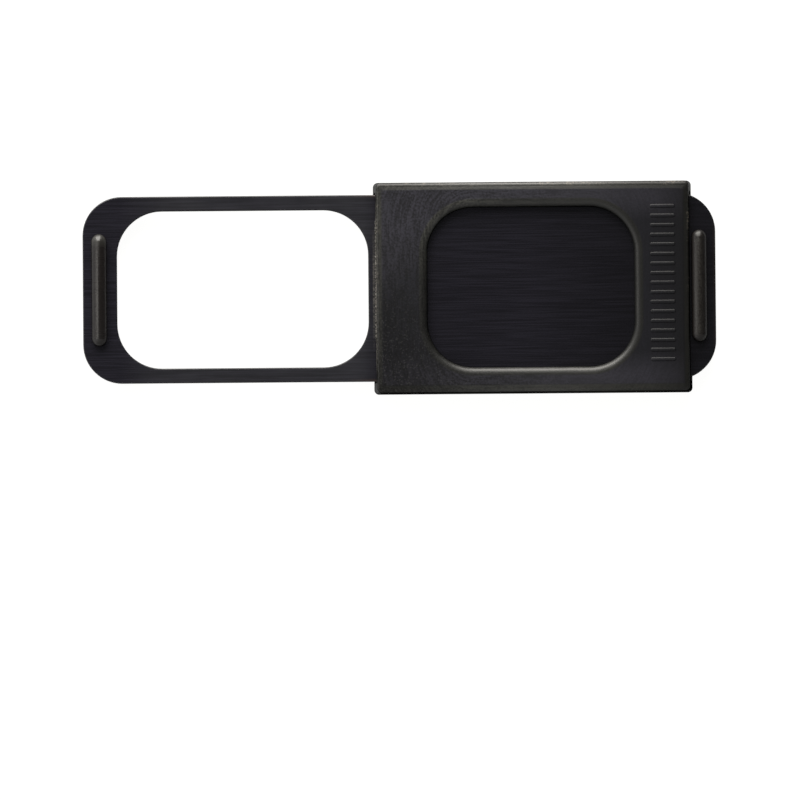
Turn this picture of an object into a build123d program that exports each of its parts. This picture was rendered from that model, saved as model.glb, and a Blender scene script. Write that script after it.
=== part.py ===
from build123d import *
import math
import os

# A sliding cover for a camera lens: a flat sleeve that is stuck over the lens, and a plate that
# slides through it. All sizes are in millimetres and all angles in degrees.
# The origin is the centre of the window, on the back of the adhesive. +X is the way the plate
# slides to open the window, and +Z points away from the screen frame that carries the cover.
# The cover is drawn shut.

# Sleeve
window_length = 10.8
window_corner_radius = 2.37
window_lip_radius = 0.3
back_window_margin = 0.1
sleeve_left_bar = 2.82
sleeve_right_bar = 3.02
side_wall = 0.57
back_wall = 0.3
front_wall = 0.45
sleeve_edge_radius = 0.25
side_draft_angle = 4.0
end_draft_angle = 8.0

# Slider plate
slider_width = 9.75
slider_thickness = 0.45
slider_corner_radius = 2.03
slider_edge_radius = 0.06
slider_side_bar = 0.76
slider_window_corner_radius = 2.35

# Finger ribs, which are also the stops
rib_length = 5.85
rib_width = 0.78
rib_height = 0.55
rib_outer_land = 0.47
rib_inner_land = 0.53
rib_draft_angle = 12.0
rib_crown_radius = 0.24

# Clearances between the plate and the sleeve
slot_face_clearance = 0.05
slot_side_clearance = 0.1
stop_gap = 0.1
window_side_reveal = 0.055
window_overrun = 0.06
shut_strip = 0.27

# Adhesive frame
adhesive_thickness = 0.15
adhesive_edge_inset = 0.2
adhesive_window_margin = 0.1
adhesive_corner_radius = 0.5

# A fillet takes at most this share of the wall that it rounds
fillet_share = 0.9


def limited(radius, wall):
    """Return a fillet radius that leaves some of the wall standing."""
    return min(radius, fillet_share * wall)


def lean(height, angle):
    """Return how far a drafted wall leans in over a height."""
    return height * math.tan(math.radians(angle))


# Heights, from the back upwards
slot_height = slider_thickness + 2 * slot_face_clearance
slot_floor_z = adhesive_thickness + back_wall
slot_roof_z = slot_floor_z + slot_height
front_z = slot_roof_z + front_wall
sleeve_height = front_z - adhesive_thickness
slider_back_z = slot_floor_z + slot_face_clearance
slider_front_z = slider_back_z + slider_thickness

# Widths: the plate sets the slot, and the plate's window sets the sleeve's
slot_width = slider_width + 2 * slot_side_clearance
sleeve_width = slot_width + 2 * side_wall
slider_window_width = slider_width - 2 * slider_side_bar
window_width = slider_window_width + 2 * window_side_reveal

# Lengths: a rib stops against the end of the sleeve's front wall, which leans in towards the front.
# At either stop the plate stands out of the sleeve by end_reach. Pulled fully open, its window clears
# the sleeve's window, and pushed shut, its window is just outside the sleeve.
sleeve_length = sleeve_left_bar + window_length + sleeve_right_bar
slider_end_bar = rib_outer_land + rib_width + rib_inner_land
stop_setback = lean(slot_roof_z - adhesive_thickness, end_draft_angle)
end_reach = rib_outer_land + rib_width + stop_gap - stop_setback
window_far_edge = end_reach + sleeve_left_bar + window_length + window_overrun
slider_window_length = window_far_edge - slider_end_bar
slider_length = window_far_edge + shut_strip + sleeve_length + end_reach
travel = slider_length - sleeve_length - 2 * end_reach

# Places along X with the cover shut
sleeve_middle_x = (sleeve_right_bar - sleeve_left_bar) / 2
slider_right_x = window_length / 2 + sleeve_right_bar + end_reach
slider_left_x = slider_right_x - slider_length
slider_middle_x = (slider_left_x + slider_right_x) / 2
slider_window_x = slider_left_x + slider_end_bar + slider_window_length / 2
rib_inset = rib_outer_land + rib_width / 2
rib_places = [(slider_left_x + rib_inset, 0), (slider_right_x - rib_inset, 0)]

# The sleeve's face is smaller than its back, and a rib's crown is narrower than its foot
face_length = sleeve_length - 2 * lean(sleeve_height, end_draft_angle)
face_width = sleeve_width - 2 * lean(sleeve_height, side_draft_angle)
rib_crown_half_width = rib_width / 2 - lean(rib_height, rib_draft_angle)

# The holes in the sleeve's back and in the adhesive step back from the front window
back_window_length = window_length + 2 * back_window_margin
back_window_width = window_width + 2 * back_window_margin
back_window_corner_radius = window_corner_radius + back_window_margin

os.makedirs("parts", exist_ok=True)

# Sleeve: one moulding, a flat tube with a window through its front and back walls
with BuildPart() as sleeve:
    with BuildSketch(Plane.XY.offset(adhesive_thickness)):
        with Locations((sleeve_middle_x, 0)):
            Rectangle(sleeve_length, sleeve_width)
    with BuildSketch(Plane.XY.offset(front_z)):
        with Locations((sleeve_middle_x, 0)):
            Rectangle(face_length, face_width)
    loft(ruled=True)
    back_edges = sleeve.faces().sort_by(Axis.Z)[0].edges()
    fillet(sleeve.edges() - back_edges, radius=limited(sleeve_edge_radius, front_wall))
    # Slot for the plate, open at both ends
    with BuildSketch(Plane.YZ.offset(-sleeve_length)):
        with Locations((0, slot_floor_z + slot_height / 2)):
            Rectangle(slot_width, slot_height)
    extrude(amount=2 * sleeve_length, mode=Mode.SUBTRACT)
    # Front window, drafted and with a rounded lip
    with BuildSketch(Plane.XY.offset(slot_roof_z)):
        RectangleRounded(window_length, window_width, window_corner_radius)
    extrude(amount=front_wall, taper=-side_draft_angle, mode=Mode.SUBTRACT)
    front_face = sleeve.faces().sort_by(Axis.Z)[-1]
    fillet(front_face.inner_wires()[0].edges(), radius=limited(window_lip_radius, front_wall))
    # Back window
    with BuildSketch(Plane.XY.offset(adhesive_thickness)):
        RectangleRounded(back_window_length, back_window_width, back_window_corner_radius)
    extrude(amount=back_wall, mode=Mode.SUBTRACT)
sleeve.part.label = "sleeve"
export_step(sleeve.part, "parts/sleeve.step")

# Slider: one moulding, a thin plate with a window in one half and a finger rib near each end
with BuildPart() as slider:
    with BuildSketch(Plane.XY.offset(slider_back_z)):
        with Locations((slider_middle_x, 0)):
            RectangleRounded(slider_length, slider_width, slider_corner_radius)
        with Locations((slider_window_x, 0)):
            RectangleRounded(
                slider_window_length,
                slider_window_width,
                slider_window_corner_radius,
                mode=Mode.SUBTRACT,
            )
    extrude(amount=slider_thickness)
    plate_rims = slider.faces().sort_by(Axis.Z)[-1].edges()
    fillet(plate_rims, radius=limited(slider_edge_radius, slider_thickness))
    with BuildSketch(Plane.XY.offset(slider_front_z)):
        with Locations(*rib_places):
            SlotOverall(rib_length, rib_width, rotation=90)
    extrude(amount=rib_height, taper=rib_draft_angle)
    rib_crowns = slider.faces().group_by(Axis.Z)[-1]
    crown_wall = min(rib_crown_half_width, rib_height)
    fillet(rib_crowns.edges(), radius=limited(rib_crown_radius, crown_wall))
slider.part.label = "slider"
export_step(slider.part, "parts/slider.step")

# Adhesive frame on the sleeve's back, open round the window
with BuildPart() as adhesive_frame:
    with BuildSketch():
        with Locations((sleeve_middle_x, 0)):
            RectangleRounded(
                sleeve_length - 2 * adhesive_edge_inset,
                sleeve_width - 2 * adhesive_edge_inset,
                adhesive_corner_radius,
            )
        RectangleRounded(
            back_window_length + 2 * adhesive_window_margin,
            back_window_width + 2 * adhesive_window_margin,
            back_window_corner_radius + adhesive_window_margin,
            mode=Mode.SUBTRACT,
        )
    extrude(amount=adhesive_thickness)
adhesive_frame.part.label = "adhesive_frame"
export_step(adhesive_frame.part, "parts/adhesive_frame.step")

print("sleeve", round(sleeve_length, 3), "by", round(sleeve_width, 3), "by", round(sleeve_height, 3))
print("slider", round(slider_length, 3), "by", slider_width, "travel", round(travel, 4))
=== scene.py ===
"""Dress a sliding lens cover: a moulded sleeve, the windowed plate that slides through it, and its tape."""

import math

import bmesh
import bpy
from bpy.props import FloatProperty, FloatVectorProperty, IntProperty, PointerProperty
from mathutils import Euler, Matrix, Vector, noise


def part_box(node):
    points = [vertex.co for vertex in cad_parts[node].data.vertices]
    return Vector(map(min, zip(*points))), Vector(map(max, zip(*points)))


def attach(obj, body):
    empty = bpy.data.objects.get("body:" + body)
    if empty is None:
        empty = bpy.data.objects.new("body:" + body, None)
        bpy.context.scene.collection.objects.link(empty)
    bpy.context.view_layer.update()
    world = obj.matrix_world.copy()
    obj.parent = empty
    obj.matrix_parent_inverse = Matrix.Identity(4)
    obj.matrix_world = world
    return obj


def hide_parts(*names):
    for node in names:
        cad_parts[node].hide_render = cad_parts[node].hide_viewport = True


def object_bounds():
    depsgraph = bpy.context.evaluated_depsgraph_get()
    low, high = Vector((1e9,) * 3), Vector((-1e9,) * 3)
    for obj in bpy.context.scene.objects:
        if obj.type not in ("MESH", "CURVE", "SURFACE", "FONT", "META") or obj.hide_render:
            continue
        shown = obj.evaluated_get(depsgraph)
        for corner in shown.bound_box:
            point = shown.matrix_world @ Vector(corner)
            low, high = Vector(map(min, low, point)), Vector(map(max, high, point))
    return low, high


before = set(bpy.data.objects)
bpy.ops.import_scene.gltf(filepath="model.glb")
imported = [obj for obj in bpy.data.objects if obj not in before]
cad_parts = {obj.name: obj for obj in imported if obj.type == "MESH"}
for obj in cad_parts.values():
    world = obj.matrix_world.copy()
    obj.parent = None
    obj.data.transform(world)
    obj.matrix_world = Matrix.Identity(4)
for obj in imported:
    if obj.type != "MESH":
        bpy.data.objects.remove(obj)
CAD_LOW, CAD_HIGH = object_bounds()

bl_info = {
    "name": "Lens Cover Slider",
    "version": (1, 0, 0),
    "blender": (4, 5, 0),
    "location": "View3D > Sidebar > Lens Cover",
    "description": "Makes a sliding lens cover round its packed frame",
    "category": "Mesh",
}

MM = 0.001

# Boxes of the packed pieces, which give the overall sizes and places
SLEEVE_LOW, SLEEVE_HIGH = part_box("sleeve")
PLATE_LOW, PLATE_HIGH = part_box("slider")
TAPE_LOW, TAPE_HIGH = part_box("adhesive_frame")

# Steps along a straight side, round a corner and over a rounded edge
SIDE_STEPS = 64
CORNER_STEPS = 16
EDGE_STEPS = 14

# Rings across a face, as shares of the way from its outer edge to its window
SLEEVE_FACE_RINGS = (0.03, 0.15, 0.3, 0.5, 0.7, 0.85, 0.97)
PLATE_FACE_RINGS = (0.05, 0.25, 0.5, 0.75, 0.95)

# Facets of a raised bar. Neither count puts a point on the middle, where the bar is drawn out
BAR_SEGMENTS = 50
BAR_RINGS = 25

# Faces that meet at a smaller angle than this are shaded as one surface
SMOOTH_ANGLE = math.radians(32)

# Skin whose normal points lower than this faces the back, and has no dents
BACK_FACING = -0.5

# Moulded ABS: its refraction, and the roughness of walls that keep the mould's matt finish
ABS_IOR = 1.53
WALL_ROUGHNESS = 0.8

# A mask from none to full
WHOLE = (0.0, 1.0)

# Node kinds
MATH = "ShaderNodeMath"
VECTOR_MATH = "ShaderNodeVectorMath"
SEPARATE = "ShaderNodeSeparateXYZ"
COMBINE = "ShaderNodeCombineXYZ"
MAP_RANGE = "ShaderNodeMapRange"
NOISE = "ShaderNodeTexNoise"
VORONOI = "ShaderNodeTexVoronoi"
MIX = "ShaderNodeMix"
BUMP = "ShaderNodeBump"
PRINCIPLED = "ShaderNodeBsdfPrincipled"
MATERIAL_OUTPUT = "ShaderNodeOutputMaterial"
RANDOM = "FunctionNodeRandomValue"


# Settings

def linear(hex_colour):
    """Turn an sRGB hex colour into linear red, green and blue."""
    channels = [int(hex_colour[place:place + 2], 16) / 255 for place in (1, 3, 5)]
    return tuple(c / 12.92 if c <= 0.04045 else ((c + 0.055) / 1.055) ** 2.4 for c in channels)


def size(name, description, millimetres):
    """A length that a user can change, given in millimetres."""
    return FloatProperty(name=name, description=description, default=millimetres * MM, unit="LENGTH")


def angle(name, description, degrees):
    """An angle that a user can change, given in degrees."""
    return FloatProperty(
        name=name, description=description, default=math.radians(degrees), subtype="ANGLE"
    )


def colour(name, description, hex_colour):
    """A colour that a user can change, given as sRGB hex."""
    return FloatVectorProperty(
        name=name, description=description, default=linear(hex_colour), subtype="COLOR", min=0.0, max=1.0
    )


class SleeveSettings(bpy.types.PropertyGroup):
    """Sizes and colours of the moulded sleeve"""

    window_length: size("Window length", "Window along the slide, at the slot", 10.8)
    window_width: size("Window width", "Window across the slide, at the slot", 8.34)
    window_corner: size("Window corner", "Radius of the window's corners, at the slot", 2.37)
    lip_run: size("Lip run", "How far the window's lip rounds out over the face", 0.4)
    lip_drop: size("Lip drop", "How far the window's lip rounds down the wall", 0.25)
    back_margin: size("Back margin", "Step from the front window out to the back one", 0.1)
    side_run: size("Side run", "How far the long outer edges round in over the face", 0.24)
    side_drop: size("Side drop", "How far the long outer edges round down the wall", 0.15)
    end_edge: size("End edge", "Radius of the outer edges over the slot's mouths", 0.14)
    rim_run: size("Rim run", "Width of the shallow slope round the flat of the face", 0.16)
    rim_drop: size("Rim drop", "How far the shallow slope falls to the outer edges", 0.06)
    corner: size("Corner", "Radius of the four upright edges at the back", 0.25)
    face_corner: size("Face corner", "Radius of the four upright edges at the face", 0.12)
    side_draft: angle("Side draft", "Lean of the long walls", 3)
    end_draft: angle("End draft", "Lean of the end walls", 8)
    window_draft: angle("Window draft", "Lean of the window's wall", 4)
    slot_side_gap: size("Slot side gap", "Running gap at either side of the plate", 0.1)
    slot_face_gap: size("Slot face gap", "Running gap over and under the plate", 0.05)
    dent_depth: size("Dent depth", "How far the moulded skin sinks in", 0.008)
    dent_size: size("Dent size", "Width of the soft dents in the skin", 0.9)
    moulded: colour("Moulded colour", "Skin along the outer edges", "#2a2a27")
    lip: colour("Lip colour", "Skin of the window's lip where the face beside it is dark", "#161614")
    face: colour("Face colour", "Flat skin that is seldom touched", "#121218")
    rubbed: colour("Rubbed colour", "Flat skin that fingers have rubbed", "#29282f")
    # The speck colour also paints a faint highlight on the tops of the raised bars
    speck: colour("Speck colour", "Fine specks in the skin and tops of the bars", "#474747")
    scuffed: colour("Scuffed colour", "Edges that have been knocked", "#6a635a")
    frayed: colour("Frayed colour", "Torn plastic along the slot's mouth", "#a19d96")


class BarSettings(bpy.types.PropertyGroup):
    """The column of raised bars on the sleeve's face"""

    count: IntProperty(name="Count", description="Bars in the column", default=17, min=1)
    pitch: size("Pitch", "From one bar to the next", 0.5)
    length: size("Length", "Length of a bar, along the slide", 1.32)
    width: size("Width", "Width of a bar", 0.19)
    height: size("Height", "How far a bar stands out of the face", 0.042)
    centre_x: size("Centre X", "Middle of the column along the slide", 6.87)
    centre_y: size("Centre Y", "Middle of the column across the slide", 0.17)


class FlakeSettings(bpy.types.PropertyGroup):
    """The ragged burr that the mould left over one mouth of the slot"""

    count: IntProperty(name="Count", description="Flakes along the mouth", default=90, min=1)
    reach: size("Reach", "Length of the mouth that has the burr", 6.2)
    centre_y: size("Centre Y", "Middle of the burr across the slide", 0.4)
    rise: size("Rise", "Height of the burr above the slot", 0.08)
    spread: size("Spread", "How far flakes stray from the line", 0.02)
    least: size("Least", "Smallest half width of a flake", 0.03)
    most: size("Most", "Largest half width of a flake", 0.08)
    thickness: size("Thickness", "Half thickness of a flake", 0.02)
    tilt: angle("Tilt", "How far flakes lean out of level", 20)
    seed: IntProperty(name="Seed", description="Seed of the scatter", default=3)


class PlateSettings(bpy.types.PropertyGroup):
    """Sizes and colours of the sliding plate"""

    thickness: size("Thickness", "Thickness of the plate", 0.45)
    corner: size("Corner", "Radius of the plate's corners", 2.03)
    edge_radius: size("Edge radius", "Radius of the plate's front edges", 0.06)
    window_length: size("Window length", "Window along the slide", 13.131)
    side_bar: size("Side bar", "Strip at either side of the window", 0.76)
    end_bar: size("End bar", "Strip at the end of the window", 1.78)
    window_corner: size("Window corner", "Radius of the window's corners", 2.35)
    rib_length: size("Rib length", "Finger rib across the slide", 5.85)
    rib_width: size("Rib width", "Finger rib along the slide", 0.78)
    rib_inset: size("Rib inset", "From the plate's end to the middle of a rib", 0.86)
    rib_end: size("Rib end", "Length of a rib's rounded ends", 0.42)
    rib_crown: size("Rib crown", "Height of a rib's sloping crown", 0.3)
    rib_gable: FloatProperty(
        name="Rib gable", description="Crown from round, at 0, to straight slopes, at 1", default=0.42
    )
    rib_root: size("Rib root", "How far a rib reaches into the plate", 0.12)
    drawn: colour("Drawn colour", "Face with its drawn lines", "#18171e")
    handled: colour("Handled colour", "Strips that fingers touch", "#222228")
    rib: colour("Rib colour", "Ribs, browned by handling", "#181413")
    # The worn colour is partly wear and partly a painted highlight, on the right rib's crown and the left
    # rib's upper tip
    worn: colour("Worn colour", "Rubbed tip of the left rib and crown of the right one", "#363532")
    browned: colour("Browned colour", "Edges that have run in the slot", "#4a3a32")
    shavings: colour("Shavings colour", "Shavings under the sleeve's frayed mouth", "#5c5a56")


class TapeSettings(bpy.types.PropertyGroup):
    """Colours of the adhesive frame"""

    film: colour("Film colour", "Acrylic adhesive", "#e4e0d3")
    cell: colour("Cell colour", "Small cells in the adhesive", "#cdc8b8")
    dust: colour("Dust colour", "Dust caught along the cut edges", "#8f8a7d")


class StageSettings(bpy.types.PropertyGroup):
    """Floor, lights and camera"""

    floor: colour("Floor colour", "White table under the cover", "#fbfbfa")
    floor_white: FloatProperty(name="Floor white", description="Share of light sent back", default=0.12)
    floor_glow: FloatProperty(name="Floor glow", description="Light given off by the table", default=1.0)
    key: FloatProperty(name="Key", description="Brightness of the soft box at the top", default=7.5)
    fill: FloatProperty(name="Fill", description="Brightness of the soft box at the left", default=2.4)
    lamp: colour("Lamp colour", "Warm white of the soft boxes", "#fffbf3")
    sky: FloatProperty(name="Sky", description="Brightness of the studio's walls", default=0.5)
    far_wall: FloatProperty(name="Far wall", description="More light from the wall at the top", default=0.5)
    near_wall: FloatProperty(name="Near wall", description="More light from high at the foot", default=0.32)
    zenith: FloatProperty(name="Zenith", description="Brightness straight overhead", default=0.06)
    lens: FloatProperty(
        name="Lens", description="Focal length", default=350.0, subtype="DISTANCE_CAMERA"
    )
    roll: angle("Roll", "Turn of the camera about its view", 0.46)
    tilt: angle("Tilt", "Lean of the camera towards the foot of the picture", 1.7)


# Small helpers

def add_node(tree, kind, *values, sockets=None, output=None, **settings):
    """Add a node, set its options, set or link its inputs, and return an output, the first by default.

    Values go to the inputs in use, in their order. Sockets holds those that are given by name.
    """
    node = tree.nodes.new(kind)
    for name, value in settings.items():
        setattr(node, name, value)
    inputs = {socket.identifier: socket for socket in node.inputs}
    in_use = [socket.identifier for socket in node.inputs if socket.enabled]
    for name, value in {**dict(zip(in_use, values)), **(sockets or {})}.items():
        if isinstance(value, bpy.types.NodeSocket):
            tree.links.new(value, inputs[name])
        else:
            inputs[name].default_value = value
    if output:
        return node.outputs[output]
    return next((socket for socket in node.outputs if socket.enabled), node)


def new_object(name, data):
    """Put a mesh, a light or a camera in the scene as an object at the origin."""
    obj = bpy.data.objects.new(name, data)
    bpy.context.scene.collection.objects.link(obj)
    return obj


def plain_mesh(obj):
    """The mesh of an object with its modifiers worked out."""
    return bpy.data.meshes.new_from_object(obj.evaluated_get(bpy.context.evaluated_depsgraph_get()))


def combine(obj, tool, operation, crossing=False):
    """Cut a tool out of an object or join it on, and leave a plain mesh. A tool may cross itself."""
    modifier = obj.modifiers.new(operation, "BOOLEAN")
    modifier.operation = operation
    modifier.solver = "EXACT"
    modifier.use_self = crossing
    modifier.object = tool
    mesh = plain_mesh(obj)
    obj.modifiers.remove(modifier)
    obj.data = mesh
    bpy.data.objects.remove(tool)


def outline(length, width, radius, centre_x, z):
    """A ring of points on a rounded rectangle, anticlockwise. Every ring has as many points."""
    arcs = []
    for turn, (side_x, side_y) in enumerate(((1, 1), (-1, 1), (-1, -1), (1, -1))):
        middle = Vector((centre_x + side_x * (length / 2 - radius), side_y * (width / 2 - radius), z))
        angles = [(turn + step / CORNER_STEPS) * math.pi / 2 for step in range(CORNER_STEPS + 1)]
        arcs.append([middle + radius * Vector((math.cos(a), math.sin(a), 0)) for a in angles])
    points = []
    for arc, next_arc in zip(arcs, arcs[1:] + arcs[:1]):
        points += arc
        points += [arc[-1].lerp(next_arc[0], step / SIDE_STEPS) for step in range(1, SIDE_STEPS)]
    return points


def quarter_turn():
    """Angles over a rounded edge, from upright to level."""
    return [math.pi / 2 * step / EDGE_STEPS for step in range(EDGE_STEPS + 1)]


def between(first, last, shares):
    """Rings on the way from one ring to another."""
    return [[a.lerp(b, share) for a, b in zip(first, last)] for share in shares]


def wall_inset(z, low, high, draft, run, drop):
    """How far a leaning wall has drawn in at a height, its upper edge rounded over a run and a drop."""
    straight_z = min(z, high - drop)
    rise = min((z - straight_z) / drop, 1.0)
    return (straight_z - low) * math.tan(draft) + run * (1 - math.sqrt(1 - rise ** 2))


def skin(name, rings):
    """A closed mesh through rings of points, the last ring joined back to the first."""
    mesh = bpy.data.meshes.new(name)
    shell = bmesh.new()
    loops = [[shell.verts.new(point) for point in ring] for ring in rings]
    for lower, upper in zip(loops, loops[1:] + loops[:1]):
        for place in range(len(lower)):
            following = (place + 1) % len(lower)
            shell.faces.new((lower[place], lower[following], upper[following], upper[place]))
    shell.to_mesh(mesh)
    shell.free()
    return mesh


def block(name, low, high):
    """A plain box between two corners, used as a cutting tool."""
    mesh = bpy.data.meshes.new(name)
    shell = bmesh.new()
    bmesh.ops.create_cube(shell, size=1.0)
    bmesh.ops.scale(shell, vec=high - low, verts=shell.verts)
    bmesh.ops.translate(shell, vec=(low + high) / 2, verts=shell.verts)
    shell.to_mesh(mesh)
    shell.free()
    return new_object(name, mesh)


def dent(mesh, depth, width):
    """Sink the walls and front of a skin by up to depth, in soft dents of about that width."""
    normals = [vertex.normal.copy() for vertex in mesh.vertices]
    for vertex, normal in zip(mesh.vertices, normals):
        if normal.z > BACK_FACING:
            share = 0.5 + 0.5 * noise.noise(vertex.co / width)
            vertex.co -= normal * depth * max(share, 0.0)


def finish_piece(obj, material, body, node):
    """Shade a finished mesh, give it its material and let it stand for a node of the frame."""
    obj.data.shade_smooth()
    obj.data.set_sharp_from_angle(angle=SMOOTH_ANGLE)
    obj.data.materials.clear()
    obj.data.materials.append(material)
    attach(obj, body)
    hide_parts(node)


# Repeated pieces

def new_tree(name, inputs):
    """An empty geometry tree with named inputs, and the sockets that they are read from."""
    tree = bpy.data.node_groups.new(name, "GeometryNodeTree")
    for input_name, kind in inputs.items():
        tree.interface.new_socket(input_name, in_out="INPUT", socket_type=kind)
    tree.interface.new_socket("Geometry", in_out="OUTPUT", socket_type="NodeSocketGeometry")
    return tree, add_node(tree, "NodeGroupInput").node.outputs


def copy_along(tree, points, piece, given, **placing):
    """Set a piece on every point, make the copies real, give them their material and put them out."""
    copies = add_node(
        tree, "GeometryNodeInstanceOnPoints", sockets={"Points": points, "Instance": piece, **placing}
    )
    solid = add_node(tree, "GeometryNodeRealizeInstances", copies)
    coloured = add_node(
        tree, "GeometryNodeSetMaterial", sockets={"Geometry": solid, "Material": given["Material"]}
    )
    add_node(tree, "NodeGroupOutput", coloured)
    return tree


def bars_tree():
    """A row of raised bars: each is a ball drawn out along X, with its underside cut flat.

    Its crown is round at a gable of 0, and has straight slopes like a roof at a gable of 1. The face's
    bars and the finger ribs share the tree.
    """
    name = "raised_bars"
    if name in bpy.data.node_groups:
        return bpy.data.node_groups[name]
    tree, given = new_tree(
        name,
        {
            "Count": "NodeSocketInt",
            "Start": "NodeSocketVector",
            "Offset": "NodeSocketVector",
            "Turn": "NodeSocketVector",
            "Half size": "NodeSocketVector",
            "Run": "NodeSocketVector",
            "Gable": "NodeSocketFloat",
            "Underside": "NodeSocketVector",
            "Material": "NodeSocketMaterial",
        },
    )
    ball = add_node(tree, "GeometryNodeMeshUVSphere", BAR_SEGMENTS, BAR_RINGS, 1.0)
    lying = add_node(
        tree, "GeometryNodeTransform", sockets={"Geometry": ball, "Rotation": (0.0, math.pi / 2, 0.0)}
    )
    place = add_node(tree, "GeometryNodeInputPosition")
    end = add_node(tree, VECTOR_MATH, place, operation="SIGN")
    run = add_node(tree, VECTOR_MATH, end, given["Run"], operation="MULTIPLY")
    x, y, z = add_node(tree, SEPARATE, place).node.outputs
    level = add_node(tree, VECTOR_MATH, place, (1, 1, 0), operation="MULTIPLY")
    off_crest = add_node(tree, VECTOR_MATH, level, operation="LENGTH")
    roof = add_node(tree, MATH, 1.0, off_crest, operation="SUBTRACT")
    crown = add_node(tree, MIX, given["Gable"], z, roof, data_type="FLOAT")
    shaped = add_node(tree, COMBINE, x, y, crown)
    drawn = add_node(tree, VECTOR_MATH, shaped, given["Half size"], run, operation="MULTIPLY_ADD")
    seated = add_node(tree, VECTOR_MATH, drawn, given["Underside"], operation="MAXIMUM")
    bar = add_node(tree, "GeometryNodeSetPosition", sockets={"Geometry": lying, "Position": seated})
    row = add_node(tree, "GeometryNodeMeshLine", given["Count"], given["Start"], given["Offset"])
    return copy_along(tree, row, bar, given, Rotation=given["Turn"])


def flakes_tree():
    """Ragged flakes strewn along a line, each turned and sized by chance from one seed."""
    tree, given = new_tree(
        "burr_flakes",
        {
            "Count": "NodeSocketInt",
            "Start": "NodeSocketVector",
            "Offset": "NodeSocketVector",
            "Spread": "NodeSocketVector",
            "Turn": "NodeSocketVector",
            "Least": "NodeSocketVector",
            "Most": "NodeSocketVector",
            "Seed": "NodeSocketInt",
            "Material": "NodeSocketMaterial",
        },
    )
    row = add_node(tree, "GeometryNodeMeshLine", given["Count"], given["Start"], given["Offset"])
    chance = add_node(
        tree, RANDOM, (-1.0, -1.0, -1.0), (1.0, 1.0, 1.0), sockets={"Seed": given["Seed"]},
        data_type="FLOAT_VECTOR",
    )
    stray = add_node(tree, VECTOR_MATH, chance, given["Spread"], operation="MULTIPLY")
    strewn = add_node(tree, "GeometryNodeSetPosition", sockets={"Geometry": row, "Offset": stray})
    flake = add_node(tree, "GeometryNodeMeshIcoSphere", sockets={"Radius": 1.0, "Subdivisions": 1})
    turn = add_node(tree, VECTOR_MATH, chance, given["Turn"], operation="MULTIPLY")
    sizes = add_node(
        tree, RANDOM, given["Least"], given["Most"], sockets={"Seed": given["Seed"]},
        data_type="FLOAT_VECTOR",
    )
    return copy_along(tree, strewn, flake, given, Rotation=turn, Scale=sizes)


def grow(name, tree, values):
    """Run a geometry tree with these inputs, and return what it makes as a plain object."""
    obj = new_object(name, bpy.data.meshes.new(name))
    modifier = obj.modifiers.new(name, "NODES")
    modifier.node_group = tree
    for item in tree.interface.items_tree:
        if item.in_out == "INPUT":
            modifier[item.identifier] = values[item.name]
    mesh = plain_mesh(obj)
    obj.modifiers.remove(modifier)
    obj.data = mesh
    return obj


# Materials

def new_material(name):
    """An empty node material and its tree."""
    material = bpy.data.materials.new(name)
    material.use_nodes = True
    material.node_tree.nodes.clear()
    return material, material.node_tree


def edge_margin(tree, place, low, high):
    """Distance in from the upright sides of a box, as a node socket."""
    shifted = add_node(tree, VECTOR_MATH, place, (low + high) / 2, operation="SUBTRACT")
    folded = add_node(tree, VECTOR_MATH, shifted, operation="ABSOLUTE")
    inward = add_node(tree, VECTOR_MATH, (high - low) / 2, folded, operation="SUBTRACT")
    inward_x, inward_y, _ = add_node(tree, SEPARATE, inward).node.outputs
    return add_node(tree, MATH, inward_x, inward_y, operation="MINIMUM")


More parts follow.
